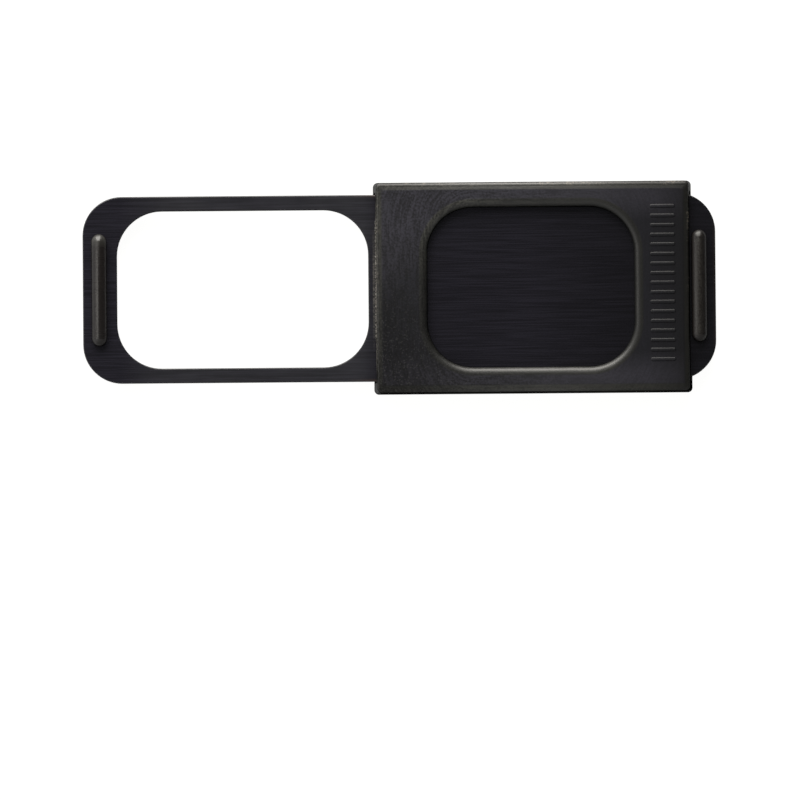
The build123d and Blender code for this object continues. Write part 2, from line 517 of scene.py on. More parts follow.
def satin_moulded_abs(sleeve):
    """Black ABS as it leaves a satin mould, rubbed by fingers.

    The untouched skin along edges and lips is a warm black that shines softly. The face between them
    is rubbed greyer and bluer, with short streaks that follow the window, and the walls are matt and
    darkened by painted shade.
    """
    # The real grain is about 0.03 mm, finer than the render shows, so it is drawn coarser
    grain_size = 0.11 * MM
    grain_share = 1.2
    grain_depth = 0.006 * MM
    grain_strength = 0.5
    speck_size = 0.07 * MM
    streak_width = 0.09 * MM
    streak_stretch = 1.5 * MM
    streaks_per_turn = 40
    patch_size = 3.2 * MM
    scuff_size = 0.9 * MM

    # A band runs from where a look starts to where it is full. These go out from the window's core
    lip_band = (sleeve.window_corner + 0.38 * MM, sleeve.window_corner + 0.5 * MM)
    # In from the outer edges
    edge_band = (0.38 * MM, 0.5 * MM)
    scuff_band = (0.32 * MM, 0.1 * MM)
    # Upwards: the rounded edge, the wall over the slot and the raised bars
    rim_band = (SLEEVE_HIGH.z - 0.28 * MM, SLEEVE_HIGH.z - 0.12 * MM)
    roof_band = (SLEEVE_HIGH.z - 0.5 * MM, SLEEVE_HIGH.z - 0.42 * MM)
    bar_band = (SLEEVE_HIGH.z, SLEEVE_HIGH.z + 0.03 * MM)
    # Out from the middle line, and from the middle towards the upper left and the lower left corner
    side_band = (3.4 * MM, 4.6 * MM)
    crest_band = (5.5 * MM, 8.5 * MM)
    corner_band = (6.5 * MM, 10 * MM)
    low_left_band = (-4 * MM, -11 * MM)
    dull_band = (-5 * MM, -12 * MM)
    # Along the slide, the last band out from the place where the long edges shine most
    calm_band = (-3 * MM, 3 * MM)
    right_band = (3 * MM, 6 * MM)
    end_band = (6 * MM, 8.3 * MM)
    mouth_band = (SLEEVE_LOW.x + 0.2 * MM, SLEEVE_LOW.x + 0.12 * MM)
    shine_x = -1 * MM
    shine_band = (2 * MM, 6 * MM)
    # Across the slide
    post_band = (4.6 * MM, 4.9 * MM)
    upper_band = (-2 * MM, 2 * MM)
    # Parts of the surface's direction: out of the face, and along the slide
    wall_slope = (0.78, 0.55)
    left_slope = (-0.3, -0.8)
    # Levels of noise at which a pattern starts and is full
    patch_levels = (0.3, 0.65)
    stroke_levels = (0.9, 1.3)
    dot_levels = (0.62, 0.78)
    knock_levels = (0.28, 0.4)
    ragged_levels = (0.4, 0.65)

    # Brightness or strength of a look at the start and the end of its band or pattern
    patch_strength = (0.65, 1.0)
    lip_share = 0.6
    stroke_shade = (0.4, 1.6)
    calm_strength = (0.0, 0.7)
    crest_shade = (1.0, 2.2)
    lip_ease = (0.25, 0.0)
    lighter_wall_ease = (1.0, 0.65)
    painted_wall_shade_levels = (1.0, 0.35)
    end_shade = (1.0, 0.3)
    low_left_darkening = (1.0, 0.45)
    dot_strength = (0.0, 0.4)
    painted_bar_highlight = (0.0, 0.06)
    ragged_strength = (0.0, 0.7)
    # Roughness and gloss
    skin_roughness = (0.38, 0.43)
    edge_gloss = (0.78, 0.46)
    lip_gloss = 0.64
    face_gloss = 0.45
    left_gloss = (1.0, 0.65)
    right_gloss = (1.0, 0.7)

    material, tree = new_material("satin_moulded_abs")
    coordinates = add_node(tree, "ShaderNodeTexCoord").node.outputs
    place = coordinates["Object"]
    x, y, z = add_node(tree, SEPARATE, place).node.outputs

    # Distance from the straight core of the window, which grows evenly across the face
    core_x = sleeve.window_length / 2 - sleeve.window_corner
    core_y = sleeve.window_width / 2 - sleeve.window_corner
    flat = add_node(tree, VECTOR_MATH, place, (1, 1, 0), operation="MULTIPLY")
    folded = add_node(tree, VECTOR_MATH, flat, operation="ABSOLUTE")
    past = add_node(tree, VECTOR_MATH, folded, (core_x, core_y, 0), operation="SUBTRACT")
    outside = add_node(tree, VECTOR_MATH, past, (0, 0, 0), operation="MAXIMUM")
    reach = add_node(tree, VECTOR_MATH, outside, operation="LENGTH")

    # Streaks that run round the window, in rings that are longer across the slide than the window is
    ring = add_node(tree, VECTOR_MATH, past, (0, streak_stretch, 0), operation="SUBTRACT")
    ring_outside = add_node(tree, VECTOR_MATH, ring, (0, 0, 0), operation="MAXIMUM")
    ring_reach = add_node(tree, VECTOR_MATH, ring_outside, operation="LENGTH")
    way = add_node(tree, VECTOR_MATH, flat, operation="NORMALIZE")
    turned = add_node(tree, VECTOR_MATH, way, streaks_per_turn / math.tau, operation="SCALE")
    depth = add_node(tree, MATH, ring_reach, streak_width, operation="DIVIDE")
    stacked = add_node(tree, COMBINE, 0.0, 0.0, depth)
    flow = add_node(tree, VECTOR_MATH, turned, stacked, operation="ADD")
    streaks = add_node(tree, NOISE, flow, sockets={"Scale": 1.0, "Detail": 2.0})

    # The rubbed face lies between a lip band and an edge band
    off_lip = add_node(tree, MAP_RANGE, reach, *lip_band, interpolation_type="SMOOTHSTEP")
    margin = edge_margin(tree, place, SLEEVE_LOW, SLEEVE_HIGH)
    off_edge = add_node(tree, MAP_RANGE, margin, *edge_band, interpolation_type="SMOOTHSTEP")
    plateau = add_node(tree, MATH, off_lip, off_edge, operation="MULTIPLY")

    # Fingers rub the long sides and the upper left corner most
    up_left = add_node(tree, MATH, y, x, operation="SUBTRACT")
    _, off_middle, _ = add_node(tree, SEPARATE, folded).node.outputs
    sides = add_node(tree, MAP_RANGE, off_middle, *side_band)
    corner = add_node(tree, MAP_RANGE, up_left, *corner_band)
    handled = add_node(tree, MATH, sides, corner, operation="MAXIMUM")
    clouds = add_node(tree, NOISE, place, sockets={"Scale": 1 / patch_size, "Detail": 3.0})
    patches = add_node(tree, MAP_RANGE, clouds, *patch_levels, *patch_strength)
    rub = add_node(tree, MATH, handled, patches, operation="MULTIPLY")
    face_tone = add_node(tree, MIX, rub, (*sleeve.face, 1), (*sleeve.rubbed, 1), data_type="RGBA")
    # The warm skin is pale along the outer edges, and along the lip where the face beside it is rubbed
    at_border = add_node(tree, MATH, 1.0, off_edge, operation="SUBTRACT")
    lip_rub = add_node(tree, MATH, rub, lip_share, operation="MULTIPLY")
    paled = add_node(tree, MATH, lip_rub, at_border, operation="MAXIMUM")
    warm_tone = add_node(tree, MIX, paled, (*sleeve.lip, 1), (*sleeve.moulded, 1), data_type="RGBA")
    skin_tone = add_node(tree, MIX, plateau, warm_tone, face_tone, data_type="RGBA")

    # Grain and streaks lighten and darken the skin, and fade towards the right
    grain = add_node(tree, NOISE, place, sockets={"Scale": 1 / grain_size, "Detail": 2.0})
    relief = add_node(tree, MATH, grain, grain_share, streaks, operation="MULTIPLY_ADD")
    strokes = add_node(tree, MAP_RANGE, relief, *stroke_levels, *stroke_shade)
    calm = add_node(tree, MAP_RANGE, x, *calm_band, *calm_strength)
    shade = add_node(tree, MIX, calm, strokes, 1.0, data_type="FLOAT")
    # The lip is palest at the upper left
    crest = add_node(tree, MAP_RANGE, up_left, *crest_band, *crest_shade)
    lip_shade = add_node(tree, MIX, off_lip, crest, 1.0, data_type="FLOAT")
    # The walls get painted shade: their colour is darker the steeper they are. The lip shines further down
    # than the outer edges do
    normal_x, _, facing = add_node(tree, SEPARATE, coordinates["Normal"]).node.outputs
    eased = add_node(tree, MAP_RANGE, off_lip, *WHOLE, *lip_ease)
    slope = add_node(tree, MATH, facing, eased, operation="ADD")
    upright = add_node(tree, MAP_RANGE, slope, *wall_slope)
    # The walls at the left end and the upper right corner posts get less of the painted wall shade, as if
    # lit, and are not as matt as the others
    left_end = add_node(tree, MAP_RANGE, normal_x, *left_slope)
    upper = add_node(tree, MAP_RANGE, y, *post_band)
    upper_right = add_node(tree, MATH, upper, normal_x, operation="MULTIPLY")
    painted_lighter_walls = add_node(tree, MATH, left_end, upper_right, operation="MAXIMUM")
    matt = add_node(tree, MAP_RANGE, painted_lighter_walls, *WHOLE, *lighter_wall_ease)
    steep = add_node(tree, MATH, upright, matt, operation="MULTIPLY")
    painted_wall_shade = add_node(tree, MAP_RANGE, steep, *WHOLE, *painted_wall_shade_levels)
    # Darker towards the right end and towards the lower left corner
    right_end = add_node(tree, MAP_RANGE, x, *end_band, *end_shade)
    low_left = add_node(tree, MATH, x, y, operation="ADD")
    low_left_share = add_node(tree, MAP_RANGE, low_left, *low_left_band)
    low_left_dimming = add_node(tree, MAP_RANGE, low_left_share, *WHOLE, *low_left_darkening)
    ends = add_node(tree, MATH, low_left_dimming, right_end, operation="MULTIPLY")
    dim = add_node(tree, MATH, painted_wall_shade, ends, operation="MULTIPLY")
    lit = add_node(tree, MATH, shade, lip_shade, operation="MULTIPLY")
    tone = add_node(tree, MATH, lit, dim, operation="MULTIPLY")
    shaded = add_node(tree, MIX, 1.0, skin_tone, tone, data_type="RGBA", blend_type="MULTIPLY")

    # Fine pale specks in the lower left corner, and on the tops of the raised bars a faint painted
    # highlight
    dust = add_node(tree, NOISE, place, sockets={"Scale": 1 / speck_size, "Detail": 0.0})
    dots = add_node(tree, MAP_RANGE, dust, *dot_levels, *dot_strength)
    specks = add_node(tree, MATH, dots, low_left_share, operation="MULTIPLY")
    raised = add_node(tree, MAP_RANGE, z, *bar_band, *painted_bar_highlight)
    pale_marks_and_painted_light = add_node(tree, MATH, specks, raised, operation="MAXIMUM")
    speckled = add_node(tree, MIX, pale_marks_and_painted_light, shaded, (*sleeve.speck, 1), data_type="RGBA")

    # Knocked places along the upper outer edges, broken up by the grain
    at_edge = add_node(tree, MAP_RANGE, margin, *scuff_band)
    high = add_node(tree, MAP_RANGE, y, *upper_band)
    near_face = add_node(tree, MAP_RANGE, z, *rim_band)
    knockable = add_node(tree, MATH, high, near_face, operation="MULTIPLY")
    exposed = add_node(tree, MATH, at_edge, knockable, operation="MULTIPLY")
    knocks = add_node(tree, NOISE, place, sockets={"Scale": 1 / scuff_size, "Detail": 4.0})
    broken = add_node(tree, MATH, knocks, grain, operation="MULTIPLY")
    knocked = add_node(tree, MAP_RANGE, broken, *knock_levels)
    scuffs = add_node(tree, MATH, exposed, knocked, operation="MULTIPLY")
    # The mouth that the plate's window comes out of is frayed between the posts
    mouth = add_node(tree, MAP_RANGE, x, *mouth_band)
    off_posts = add_node(tree, MAP_RANGE, off_middle, *reversed(side_band))
    ragged = add_node(tree, MAP_RANGE, grain, *ragged_levels, *ragged_strength)
    over_slot = add_node(tree, MAP_RANGE, z, *roof_band)
    ragged_roof = add_node(tree, MATH, ragged, over_slot, operation="MULTIPLY")
    open_mouth = add_node(tree, MATH, mouth, off_posts, operation="MULTIPLY")
    frayed = add_node(tree, MATH, open_mouth, ragged_roof, operation="MULTIPLY")
    scuffed = add_node(tree, MIX, scuffs, speckled, (*sleeve.scuffed, 1), data_type="RGBA")
    worn = add_node(tree, MIX, frayed, scuffed, (*sleeve.frayed, 1), data_type="RGBA")

    # Walls keep the mould's matt finish
    polish = add_node(tree, MAP_RANGE, plateau, *WHOLE, *skin_roughness)
    roughness = add_node(tree, MIX, steep, polish, WALL_ROUGHNESS, data_type="FLOAT")
    # The skin round the face shines more than the rubbed face, and the long edges most in their middle
    along = add_node(tree, MATH, x, shine_x, operation="SUBTRACT")
    off_shine = add_node(tree, MATH, along, operation="ABSOLUTE")
    edge_shine = add_node(tree, MAP_RANGE, off_shine, *shine_band, *edge_gloss)
    border_shine = add_node(tree, MIX, at_border, lip_gloss, edge_shine, data_type="FLOAT")
    skin_shine = add_node(tree, MIX, plateau, border_shine, face_gloss, data_type="FLOAT")
    level = add_node(tree, MATH, 1.0, steep, operation="SUBTRACT")
    shine = add_node(tree, MATH, skin_shine, level, operation="MULTIPLY")
    dull_left = add_node(tree, MAP_RANGE, low_left, *dull_band, *left_gloss)
    dull_right = add_node(tree, MAP_RANGE, x, *right_band, *right_gloss)
    dull = add_node(tree, MATH, dull_left, dull_right, operation="MULTIPLY")
    gleam = add_node(tree, MATH, shine, dull, operation="MULTIPLY")

    bump = add_node(
        tree, BUMP, sockets={"Height": relief, "Strength": grain_strength, "Distance": grain_depth}
    )
    shader = add_node(
        tree, PRINCIPLED,
        sockets={
            "Base Color": worn,
            "Roughness": roughness,
            "IOR": ABS_IOR,
            "Specular IOR Level": gleam,
            "Normal": bump,
        },
    )
    add_node(tree, MATERIAL_OUTPUT, shader)
    return material


def lined_abs(plate):
    """Black ABS plate drawn along its length through the slot.

    The face is nearly black and slightly blue, with fine straight lines along the slide. The strips that
    fingers touch are greyer, the crown of the rib that is pushed is mottled and paler, partly with a
    painted highlight, the upper tip of the other rib has a painted highlight, walls get painted shade, and
    edges are browned.
    """
    # The real lines are about 0.02 mm wide, finer than the render shows, so they are drawn coarser
    line_length = 2.5 * MM
    line_width = 0.036 * MM
    line_depth = 0.004 * MM
    line_strength = 0.4
    grain_size = 0.09 * MM
    grain_depth = 0.01 * MM
    patch_size = 2.5 * MM

    front = PLATE_LOW.z + plate.thickness
    window_start = PLATE_LOW.x + plate.end_bar
    sleeve_x = (SLEEVE_LOW.x + SLEEVE_HIGH.x) / 2
    mouth = (SLEEVE_HIGH.x - SLEEVE_LOW.x) / 2
    # A band runs from where a look starts to where it is full. These lie along the slide
    out_band = (SLEEVE_LOW.x + 0.5 * MM, SLEEVE_LOW.x - 0.5 * MM)
    strip_band = (window_start + 0.2 * MM, window_start + 2.4 * MM)
    right_band = (0 * MM, 5.5 * MM)
    pushed_band = (-5 * MM, 5 * MM)
    # Out from the middle of the sleeve, past its mouths
    mouth_band = (mouth, mouth + 1.5 * MM)
    # Across the slide
    tip_band = (2.2 * MM, 2.65 * MM)
    # Upwards: the foot of a rib and its crown
    foot_band = (front + 0.02 * MM, front + 0.1 * MM)
    crown_band = (PLATE_HIGH.z - plate.rib_crown / 2, PLATE_HIGH.z)
    # In from the outer edges
    edge_band = (0.16 * MM, 0.03 * MM)
    # Towards the line of shavings, along the slide and across it
    shaving_band = (0.07 * MM, 0.03 * MM)
    shaving_reach = (3.4 * MM, 1.2 * MM)
    shaving_x = SLEEVE_LOW.x + 0.015 * MM
    # Parts of the surface's direction: out of the face, and along the slide
    wall_slope = (0.8, 0.4)
    flank_slope = (0.2, 0.6)
    # Levels of noise at which a pattern starts and is full
    patch_levels = (0.3, 0.7)
    line_levels = (0.4, 0.62)
    mottle_levels = (0.35, 0.65)

    # Brightness or strength of a look at the start and the end of its band or pattern
    patch_strength = (0.5, 1.0)
    line_shade = (0.75, 1.4)
    bar_shade = (1.0, 1.2)
    right_shade = (1.0, 0.5)
    pushed_strength = (0.1, 0.85)
    brown_strength = (0.5, 0.0)
    painted_wall_shade_levels = (1.0, 0.6)
    painted_flank_shade_levels = (1.0, 0.5)
    rib_dulling = (0.0, 0.25)
    rib_grain = (0.2, 1.0)
    # Roughness and gloss
    face_roughness = (0.21, 0.38)
    line_roughness = 0.06
    rib_gloss = (0.5, 0.61)
    crown_gloss = (1.0, 0.35)

    material, tree = new_material("lined_abs")
    coordinates = add_node(tree, "ShaderNodeTexCoord").node.outputs
    place = coordinates["Object"]
    x, y, z = add_node(tree, SEPARATE, place).node.outputs

    # Fine lines along the slide
    line_size = (line_length, line_width, line_length)
    drawn_out = add_node(tree, VECTOR_MATH, place, line_size, operation="DIVIDE")
    fine = add_node(tree, NOISE, drawn_out, sockets={"Scale": 1.0, "Detail": 1.0})

    # The strips beside the window, which stand out of the sleeve, are handled most
    out = add_node(tree, MAP_RANGE, x, *out_band)
    strips = add_node(tree, MAP_RANGE, x, *strip_band)
    reached = add_node(tree, MATH, out, strips, operation="MULTIPLY")
    clouds = add_node(tree, NOISE, place, sockets={"Scale": 1 / patch_size, "Detail": 4.0})
    patches = add_node(tree, MAP_RANGE, clouds, *patch_levels, *patch_strength)
    touched = add_node(tree, MATH, reached, patches, operation="MULTIPLY")
    handled = add_node(tree, MIX, touched, (*plate.drawn, 1), (*plate.handled, 1), data_type="RGBA")
    lines = add_node(tree, MAP_RANGE, fine, *line_levels, *line_shade)
    # The bar at the left end is paler, and the part that comes to the right of the window is darker
    bar = add_node(tree, MATH, out, reached, operation="SUBTRACT")
    left_side = add_node(tree, MAP_RANGE, bar, *WHOLE, *bar_shade)
    right_side = add_node(tree, MAP_RANGE, x, *right_band, *right_shade)
    sides = add_node(tree, MATH, left_side, right_side, operation="MULTIPLY")
    tone = add_node(tree, MATH, lines, sides, operation="MULTIPLY")
    lined = add_node(tree, MIX, 1.0, handled, tone, data_type="RGBA", blend_type="MULTIPLY")

    # The ribs stand above the plate's face. The right one is pushed most, and its crown is mottled and
    # paler: partly real wear, partly a painted highlight
    raised = add_node(tree, MAP_RANGE, z, *crown_band)
    pushed = add_node(tree, MAP_RANGE, x, *pushed_band, *pushed_strength)
    crown = add_node(tree, MATH, raised, pushed, operation="MULTIPLY")
    grain = add_node(tree, NOISE, place, sockets={"Scale": 1 / grain_size, "Detail": 2.0})
    mottled = add_node(tree, MAP_RANGE, grain, *mottle_levels)
    rubbed = add_node(tree, MATH, crown, mottled, operation="MULTIPLY")
    ribbed = add_node(tree, MAP_RANGE, z, *foot_band)
    aged = add_node(tree, MIX, ribbed, lined, (*plate.rib, 1), data_type="RGBA")
    # The upper tip of the left rib, which faces the top light, gets a painted highlight in the worn colour
    tip = add_node(tree, MAP_RANGE, y, *tip_band)
    left_rib = add_node(tree, MATH, out, ribbed, operation="MULTIPLY")
    painted_tip_highlight = add_node(tree, MATH, left_rib, tip, operation="MULTIPLY")
    pale_marks_and_painted_light = add_node(tree, MATH, rubbed, painted_tip_highlight, operation="MAXIMUM")
    worn = add_node(tree, MIX, pale_marks_and_painted_light, aged, (*plate.worn, 1), data_type="RGBA")

    # Outer edges are browned where they come out of the slot
    margin = edge_margin(tree, place, PLATE_LOW, PLATE_HIGH)
    at_edge = add_node(tree, MAP_RANGE, margin, *edge_band)
    along = add_node(tree, MATH, x, sleeve_x, operation="SUBTRACT")
    off_sleeve = add_node(tree, MATH, along, operation="ABSOLUTE")
    places = add_node(tree, MAP_RANGE, off_sleeve, *mouth_band, *brown_strength)
    run = add_node(tree, MATH, at_edge, places, operation="MULTIPLY")
    browned = add_node(tree, MIX, run, worn, (*plate.browned, 1), data_type="RGBA")

    # Pale shavings lie on the plate under the sleeve's frayed mouth, where it rests when it is shut
    off_line = add_node(tree, VECTOR_MATH, place, (shaving_x, 0, 0), operation="SUBTRACT")
    spread = add_node(tree, VECTOR_MATH, off_line, operation="ABSOLUTE")
    spread_x, spread_y, _ = add_node(tree, SEPARATE, spread).node.outputs
    across = add_node(tree, MAP_RANGE, spread_x, *shaving_band)
    down = add_node(tree, MAP_RANGE, spread_y, *shaving_reach)
    line = add_node(tree, MATH, across, down, operation="MULTIPLY")
    shavings = add_node(tree, MATH, line, mottled, operation="MULTIPLY")
    littered = add_node(tree, MIX, shavings, browned, (*plate.shavings, 1), data_type="RGBA")

    # Cut walls and the flanks of the ribs are matt, and get painted shade that darkens their colour the
    # steeper they are, most on the right flank of the right rib
    normal_x, _, facing = add_node(tree, SEPARATE, coordinates["Normal"]).node.outputs
    steep = add_node(tree, MAP_RANGE, facing, *wall_slope)
    painted_wall_shade = add_node(tree, MAP_RANGE, steep, *WHOLE, *painted_wall_shade_levels)
    far_flank = add_node(tree, MATH, normal_x, pushed, operation="MULTIPLY")
    painted_right_flank_shade = add_node(tree, MAP_RANGE, far_flank, *flank_slope, *painted_flank_shade_levels)
    dim = add_node(tree, MATH, painted_wall_shade, painted_right_flank_shade, operation="MULTIPLY")
    shaded = add_node(tree, MIX, 1.0, littered, dim, data_type="RGBA", blend_type="MULTIPLY")

    # Handled strips and ribs are less glossy than the drawn face
    soft_rib = add_node(tree, MAP_RANGE, ribbed, *WHOLE, *rib_dulling)
    handled_rib = add_node(tree, MATH, soft_rib, crown, operation="MAXIMUM")
    dulled = add_node(tree, MATH, touched, handled_rib, operation="MAXIMUM")
    gloss = add_node(tree, MAP_RANGE, dulled, *WHOLE, *face_roughness)
    polish = add_node(tree, MATH, fine, line_roughness, gloss, operation="MULTIPLY_ADD")
    roughness = add_node(tree, MIX, steep, polish, WALL_ROUGHNESS, data_type="FLOAT")
    # The left rib shines more than the plate, and the crown of the right one less
    rib_shine = add_node(tree, MAP_RANGE, left_rib, *WHOLE, *rib_gloss)
    crown_shine = add_node(tree, MAP_RANGE, crown, *WHOLE, *crown_gloss)
    flat_shine = add_node(tree, MATH, rib_shine, crown_shine, operation="MULTIPLY")
    level = add_node(tree, MATH, 1.0, steep, operation="SUBTRACT")
    shine = add_node(tree, MATH, flat_shine, level, operation="MULTIPLY")

    coarse = add_node(tree, MAP_RANGE, ribbed, *WHOLE, *rib_grain)
    grain_bump = add_node(
        tree, BUMP, sockets={"Height": grain, "Strength": coarse, "Distance": grain_depth}
    )
    line_bump = add_node(
        tree, BUMP,
        sockets={
            "Height": fine, "Strength": line_strength, "Distance": line_depth, "Normal": grain_bump,
        },
    )
    shader = add_node(
        tree, PRINCIPLED,
        sockets={
            "Base Color": shaded,
            "Roughness": roughness,
            "IOR": ABS_IOR,
            "Specular IOR Level": shine,
            "Normal": line_bump,
        },
    )
    add_node(tree, MATERIAL_OUTPUT, shader)
    return material


def acrylic_tape(tape):
    """Double-sided acrylic foam tape, die-cut: pale, faintly cellular, with a soft tacky sheen."""
    cell_size = 0.12 * MM
    cell_depth = 0.01 * MM
    cell_strength = 0.4
    patch_size = 1.5 * MM
    dust_band = (0.3 * MM, 0.05 * MM)
    film_roughness = (0.35, 0.55)
    film_ior = 1.47

    material, tree = new_material("acrylic_tape")
    place = add_node(tree, "ShaderNodeTexCoord", output="Object")
    cells = add_node(tree, VORONOI, place, sockets={"Scale": 1 / cell_size})
    clouds = add_node(tree, NOISE, place, sockets={"Scale": 1 / patch_size, "Detail": 3.0})
    tone = add_node(tree, MATH, cells, clouds, operation="MULTIPLY")
    face = add_node(tree, MIX, tone, (*tape.film, 1), (*tape.cell, 1), data_type="RGBA")
    margin = edge_margin(tree, place, TAPE_LOW, TAPE_HIGH)
    at_edge = add_node(tree, MAP_RANGE, margin, *dust_band)
    dust = add_node(tree, MATH, at_edge, clouds, operation="MULTIPLY")
    dusty = add_node(tree, MIX, dust, face, (*tape.dust, 1), data_type="RGBA")
    roughness = add_node(tree, MAP_RANGE, clouds, *WHOLE, *film_roughness)
    bump = add_node(
        tree, BUMP, sockets={"Height": cells, "Strength": cell_strength, "Distance": cell_depth}
    )
    shader = add_node(
        tree, PRINCIPLED,
        sockets={"Base Color": dusty, "Roughness": roughness, "IOR": film_ior, "Normal": bump},
    )
    add_node(tree, MATERIAL_OUTPUT, shader)
    return material


def white_table(stage):
    """Opal acrylic light table: white, matt and lit from below, so that shadows hardly show."""
    matt = 0.8
    material, tree = new_material("white_table")
    shader = add_node(
        tree, PRINCIPLED,
        sockets={
            "Base Color": (*(channel * stage.floor_white for channel in stage.floor), 1),
            "Roughness": matt,
            "Emission Color": (*stage.floor, 1),
            "Emission Strength": stage.floor_glow,
        },
    )
    add_node(tree, MATERIAL_OUTPUT, shader)
    return material


# Operators

class LENSCOVER_OT_sleeve(bpy.types.Operator):
    """Make the moulded sleeve with its window, slot, raised bars and burr"""

    bl_idname = "lenscover.sleeve"
    bl_label = "Make sleeve"

    def execute(self, context):
        sleeve = context.scene.lens_cover_sleeve
        slot_low = PLATE_LOW.z - sleeve.slot_face_gap
        slot_high = PLATE_LOW.z + context.scene.lens_cover_plate.thickness + sleeve.slot_face_gap
        slot_half = PLATE_HIGH.y + sleeve.slot_side_gap
        rings = self.rings(sleeve, slot_low, slot_high)
        obj = new_object("sleeve_moulding", skin("sleeve_moulding", rings))
        dent(obj.data, sleeve.dent_depth, sleeve.dent_size)

        # Slot, open at both ends
        slot_start = Vector((2 * SLEEVE_LOW.x, -slot_half, slot_low))
        slot_end = Vector((2 * SLEEVE_HIGH.x, slot_half, slot_high))
        combine(obj, block("slot", slot_start, slot_end), "DIFFERENCE")

        material = satin_moulded_abs(sleeve)
        combine(obj, self.bars(context.scene.lens_cover_bars, material), "UNION")
        burr = self.burr(sleeve, context.scene.lens_cover_flakes, slot_high, material)
        combine(obj, burr, "UNION", crossing=True)
        finish_piece(obj, material, "sleeve_body", "sleeve")
        return {"FINISHED"}

    def rings(self, sleeve, slot_low, slot_high):
        """Rings up the outer wall, over its rounded edge, across the face and down the window."""
        length, width, _ = SLEEVE_HIGH - SLEEVE_LOW
        middle_x = (SLEEVE_LOW.x + SLEEVE_HIGH.x) / 2
        low = SLEEVE_LOW.z
        face = SLEEVE_HIGH.z

        rings = [outline(length, width, sleeve.corner, middle_x, low)]
        edge = face - sleeve.rim_drop
        for turn in quarter_turn():
            z = edge - sleeve.side_drop * (1 - math.sin(turn))
            end_inset = wall_inset(z, low, edge, sleeve.end_draft, sleeve.end_edge, sleeve.end_edge)
            side_inset = wall_inset(z, low, edge, sleeve.side_draft, sleeve.side_run, sleeve.side_drop)
            corner = sleeve.corner + (sleeve.face_corner - sleeve.corner) * math.sin(turn)
            rings.append(outline(length - 2 * end_inset, width - 2 * side_inset, corner, middle_x, z))
        # A shallow slope leads from the last of these rings to the flat of the face
        face_length = length - 2 * (end_inset + sleeve.rim_run)
        face_width = width - 2 * (side_inset + sleeve.rim_run)
        rings.append(outline(face_length, face_width, sleeve.face_corner, middle_x, face))

        lip = []
        for turn in reversed(quarter_turn()):
            z = face - sleeve.lip_drop * (1 - math.sin(turn))
            outset = wall_inset(z, slot_high, face, sleeve.window_draft, sleeve.lip_run, sleeve.lip_drop)
            lip.append(self.window(sleeve, outset, z))
        rings += between(rings[-1], lip[0], SLEEVE_FACE_RINGS)
        rings += lip

        # Inside the slot the wall steps back to the larger window in the back
        slot_middle = (slot_low + slot_high) / 2
        below = (slot_middle - slot_high) * math.tan(sleeve.window_draft)
        rings.append(self.window(sleeve, below, slot_middle))
        rings.append(self.window(sleeve, sleeve.back_margin, slot_middle))
        rings.append(self.window(sleeve, sleeve.back_margin, low))
        return rings

    def window(self, sleeve, outset, z):
        """A ring round the window, set out from its size at the slot."""
        length = sleeve.window_length + 2 * outset
        width = sleeve.window_width + 2 * outset
        return outline(length, width, sleeve.window_corner + outset, 0.0, z)

    def bars(self, bars, material):
        """The column of raised bars beside the window."""
        first_y = bars.centre_y - (bars.count - 1) * bars.pitch / 2
        return grow(
            "face_bars",
            bars_tree(),
            {
                "Count": bars.count,
                "Start": (bars.centre_x, first_y, SLEEVE_HIGH.z),
                "Offset": (0.0, bars.pitch, 0.0),
                "Turn": (0.0, 0.0, 0.0),
                "Half size": (bars.width / 2, bars.width / 2, bars.height),
                "Run": ((bars.length - bars.width) / 2, 0.0, 0.0),
                "Gable": 0.0,
                "Underside": (-bars.length, -bars.length, -bars.height),
                "Material": material,
            },
        )

    def burr(self, sleeve, flakes, slot_high, material):
        """The ragged burr over the slot's mouth on the side that the window of the plate comes out of."""
        z = slot_high + flakes.rise
        x = SLEEVE_LOW.x + (z - SLEEVE_LOW.z) * math.tan(sleeve.end_draft)
        return grow(
            "burr_flakes",
            flakes_tree(),
            {
                "Count": flakes.count,
                "Start": (x, flakes.centre_y - flakes.reach / 2, z),
                "Offset": (0.0, flakes.reach / flakes.count, 0.0),
                "Spread": (flakes.spread, flakes.spread, flakes.spread),
                "Turn": (flakes.tilt, flakes.tilt, math.pi),
                "Least": (flakes.least, flakes.least, flakes.thickness),
                "Most": (flakes.most, flakes.most, flakes.thickness),
                "Seed": flakes.seed,
                "Material": material,
            },
        )


